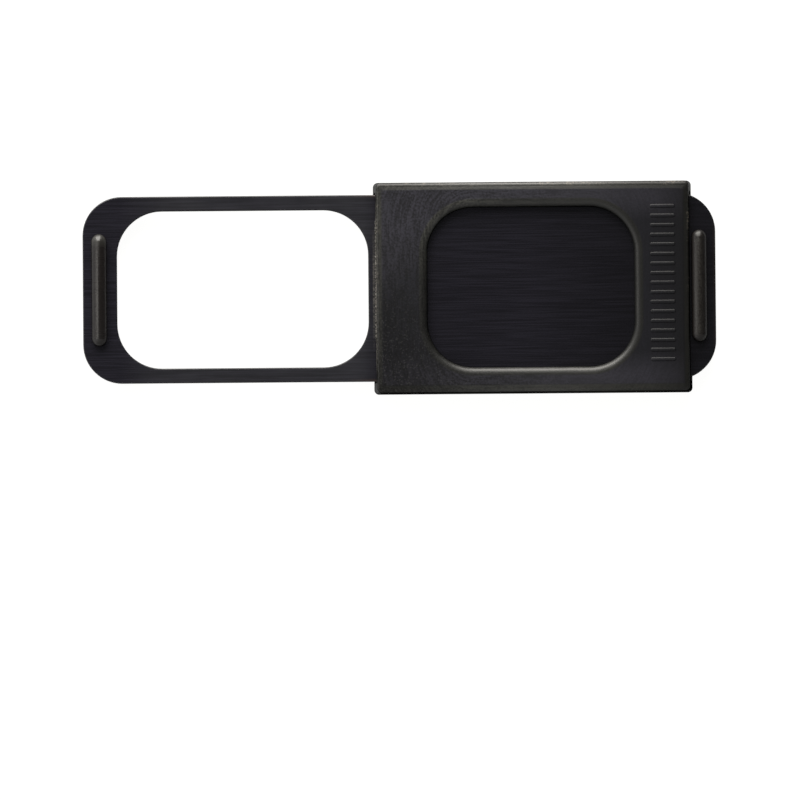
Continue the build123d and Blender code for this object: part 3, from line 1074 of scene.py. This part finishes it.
class LENSCOVER_OT_plate(bpy.types.Operator):
    """Make the sliding plate with its window and finger ribs"""

    bl_idname = "lenscover.plate"
    bl_label = "Make plate"

    def execute(self, context):
        plate = context.scene.lens_cover_plate
        length, width, _ = PLATE_HIGH - PLATE_LOW
        middle_x = (PLATE_LOW.x + PLATE_HIGH.x) / 2
        window_length = plate.window_length
        window_width = width - 2 * plate.side_bar
        window_x = PLATE_LOW.x + plate.end_bar + window_length / 2
        front = PLATE_LOW.z + plate.thickness
        edge = plate.edge_radius

        # Rings up the outer wall, over its edge, across the face and down the window
        heights = [PLATE_LOW.z] + [front - edge * (1 - math.sin(turn)) for turn in quarter_turn()]
        insets = [0.0] + [edge * (1 - math.cos(turn)) for turn in quarter_turn()]
        outer = []
        inner = []
        for z, inset in zip(heights, insets):
            step = 2 * inset
            outer.append(outline(length - step, width - step, plate.corner - inset, middle_x, z))
            window_corner = plate.window_corner + inset
            inner.append(outline(window_length + step, window_width + step, window_corner, window_x, z))
        rings = outer + between(outer[-1], inner[-1], PLATE_FACE_RINGS) + inner[::-1]
        obj = new_object("slider_plate", skin("slider_plate", rings))

        material = lined_abs(plate)
        ribs = grow(
            "finger_ribs",
            bars_tree(),
            {
                "Count": 2,
                "Start": (PLATE_LOW.x + plate.rib_inset, 0.0, front),
                "Offset": (length - 2 * plate.rib_inset, 0.0, 0.0),
                "Turn": (0.0, 0.0, math.pi / 2),
                "Half size": (plate.rib_end, plate.rib_width / 2, plate.rib_crown),
                "Run": (plate.rib_length / 2 - plate.rib_end, 0.0, PLATE_HIGH.z - front - plate.rib_crown),
                "Gable": plate.rib_gable,
                "Underside": (-plate.rib_length, -plate.rib_length, -plate.rib_root),
                "Material": material,
            },
        )
        combine(obj, ribs, "UNION")
        finish_piece(obj, material, "slider_body", "slider")
        return {"FINISHED"}


class LENSCOVER_OT_tape(bpy.types.Operator):
    """Give the adhesive frame its finish"""

    bl_idname = "lenscover.tape"
    bl_label = "Finish tape"

    def execute(self, context):
        material = acrylic_tape(context.scene.lens_cover_tape)
        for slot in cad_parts["adhesive_frame"].material_slots:
            slot.material = material
        return {"FINISHED"}


class LENSCOVER_OT_stage(bpy.types.Operator):
    """Lay the floor and set the lights and the camera"""

    bl_idname = "lenscover.stage"
    bl_label = "Set stage"

    # Width of the square photograph, the plate's length in it and the window's centre, in pixels
    photo_side = 800
    plate_pixels = 633.2
    window_pixel = (531.0, 286.85)

    floor_radius = 0.8
    floor_sides = 96

    def execute(self, context):
        stage = context.scene.lens_cover_stage
        self.lay_floor(stage)
        self.light_sky(context.scene, stage)
        self.soft_box(
            "key_box", stage.key, stage.lamp, sides=(0.3, 0.16), azimuth=12, elevation=33, distance=0.3
        )
        self.soft_box(
            "fill_box", stage.fill, stage.lamp, sides=(0.03, 0.03), azimuth=90, elevation=41, distance=0.092
        )
        self.set_camera(context.scene, stage)
        context.scene.view_settings.view_transform = "Standard"
        return {"FINISHED"}

    def lay_floor(self, stage):
        """A round white table top that the cover lies on."""
        mesh = bpy.data.meshes.new("floor")
        top = bmesh.new()
        bmesh.ops.create_circle(top, cap_ends=True, segments=self.floor_sides, radius=self.floor_radius)
        top.to_mesh(mesh)
        top.free()
        mesh.materials.append(white_table(stage))
        new_object("floor", mesh)

    def light_sky(self, scene, stage):
        """A studio with pale walls and a dark ceiling over the camera.

        The wall at the right is darker and the one at the top left brighter. At the foot the wall is dark
        low down and glows high up.
        """
        # Parts of the way that light comes from, where a change starts and where it is full
        ceiling_band = (0.6, 0.98)
        right_band = (0.1, 0.7)
        right_shade = (1.0, 0.1)
        foot_band = (-0.9, -0.5)
        foot_shade = (0.3, 1.0)
        high_foot_band = (-0.1, -0.4)
        top_band = (0.15, 0.5)
        left_band = (0.5, 0.1)
        wall_colour = (1.0, 0.99, 0.98, 1.0)

        scene.world = bpy.data.worlds.new("studio")
        scene.world.use_nodes = True
        tree = scene.world.node_tree
        tree.nodes.clear()
        way = add_node(tree, "ShaderNodeTexCoord", output="Generated")
        x, y, z = add_node(tree, SEPARATE, way).node.outputs
        level = add_node(
            tree, MAP_RANGE, z, *ceiling_band, stage.sky, stage.zenith, interpolation_type="SMOOTHSTEP"
        )
        right = add_node(tree, MAP_RANGE, x, *right_band, *right_shade)
        low_near = add_node(tree, MAP_RANGE, y, *foot_band, *foot_shade)
        side = add_node(tree, MATH, right, low_near, operation="MULTIPLY")
        high_near = add_node(
            tree, MAP_RANGE, y, *high_foot_band, 0.0, stage.near_wall, interpolation_type="SMOOTHSTEP"
        )
        near_wall = add_node(tree, MATH, high_near, low_near, operation="MULTIPLY")
        far = add_node(
            tree, MAP_RANGE, y, *top_band, 0.0, stage.far_wall, interpolation_type="SMOOTHSTEP"
        )
        off_right = add_node(tree, MAP_RANGE, x, *left_band)
        far_wall = add_node(tree, MATH, far, off_right, operation="MULTIPLY")
        walls = add_node(tree, MATH, near_wall, far_wall, operation="ADD")
        strength = add_node(tree, MATH, level, side, walls, operation="MULTIPLY_ADD")
        sky = add_node(tree, "ShaderNodeBackground", wall_colour, strength)
        add_node(tree, "ShaderNodeOutputWorld", sky)

    def soft_box(self, name, brightness, lamp, sides, azimuth, elevation, distance):
        """A rectangular light that faces the cover from a distance, with sides in metres.

        It stands azimuth degrees round from +Y towards -X, and elevation degrees above the table.
        """
        light = bpy.data.lights.new(name, "AREA")
        light.color = lamp
        light.shape = "RECTANGLE"
        light.size, light.size_y = sides
        light.energy = brightness * math.pi * sides[0] * sides[1]
        obj = new_object(name, light)
        turn = math.radians(azimuth)
        rise = math.radians(elevation)
        way = Vector((-math.sin(turn) * math.cos(rise), math.cos(turn) * math.cos(rise), math.sin(rise)))
        obj.location = (CAD_LOW + CAD_HIGH) / 2 + way * distance
        obj.rotation_euler = way.to_track_quat("Z", "Y").to_euler()

    def set_camera(self, scene, stage):
        """A long lens almost straight above, framed as the photograph is."""
        data = bpy.data.cameras.new("camera")
        data.lens = stage.lens
        data.clip_start = 1 * MM
        camera = new_object("camera", data)
        pixel = (PLATE_HIGH.x - PLATE_LOW.x) / self.plate_pixels
        right = (self.photo_side / 2 - self.window_pixel[0]) * pixel
        up = (self.window_pixel[1] - self.photo_side / 2) * pixel
        aim = Euler((0.0, 0.0, -stage.roll)).to_matrix() @ Vector((right, up, 0.0))
        aim.z = PLATE_LOW.z + scene.lens_cover_plate.thickness
        distance = self.photo_side * pixel * data.lens / data.sensor_width
        camera.rotation_euler = (stage.tilt, 0.0, -stage.roll)
        camera.location = aim + camera.rotation_euler.to_matrix() @ Vector((0.0, 0.0, distance))
        scene.camera = camera


class LENSCOVER_PT_sidebar(bpy.types.Panel):
    """The cover's settings and the steps that make it"""

    bl_idname = "LENSCOVER_PT_sidebar"
    bl_label = "Lens Cover"
    bl_space_type = "VIEW_3D"
    bl_region_type = "UI"
    bl_category = "Lens Cover"

    def draw(self, context):
        for settings_name, settings_class in SETTINGS.items():
            settings = getattr(context.scene, settings_name)
            box = self.layout.box()
            box.label(text=settings_class.__doc__)
            for property_name in settings_class.__annotations__:
                box.prop(settings, property_name)
        for operator in OPERATORS:
            self.layout.operator(operator.bl_idname)


SETTINGS = {
    "lens_cover_sleeve": SleeveSettings,
    "lens_cover_bars": BarSettings,
    "lens_cover_flakes": FlakeSettings,
    "lens_cover_plate": PlateSettings,
    "lens_cover_tape": TapeSettings,
    "lens_cover_stage": StageSettings,
}
OPERATORS = (LENSCOVER_OT_sleeve, LENSCOVER_OT_plate, LENSCOVER_OT_tape, LENSCOVER_OT_stage)
CLASSES = (*SETTINGS.values(), *OPERATORS, LENSCOVER_PT_sidebar)


def register():
    """Make the settings, the steps and the panel known."""
    for item in CLASSES:
        bpy.utils.register_class(item)
    for name, settings_class in SETTINGS.items():
        setattr(bpy.types.Scene, name, PointerProperty(type=settings_class))


def unregister():
    """Take the settings, the steps and the panel away again."""
    for name in SETTINGS:
        delattr(bpy.types.Scene, name)
    for item in reversed(CLASSES):
        bpy.utils.unregister_class(item)


def main():
    """Make the cover and its stage."""
    register()
    bpy.ops.lenscover.sleeve()
    bpy.ops.lenscover.plate()
    bpy.ops.lenscover.tape()
    bpy.ops.lenscover.stage()


if __name__ == "__main__":
    main()
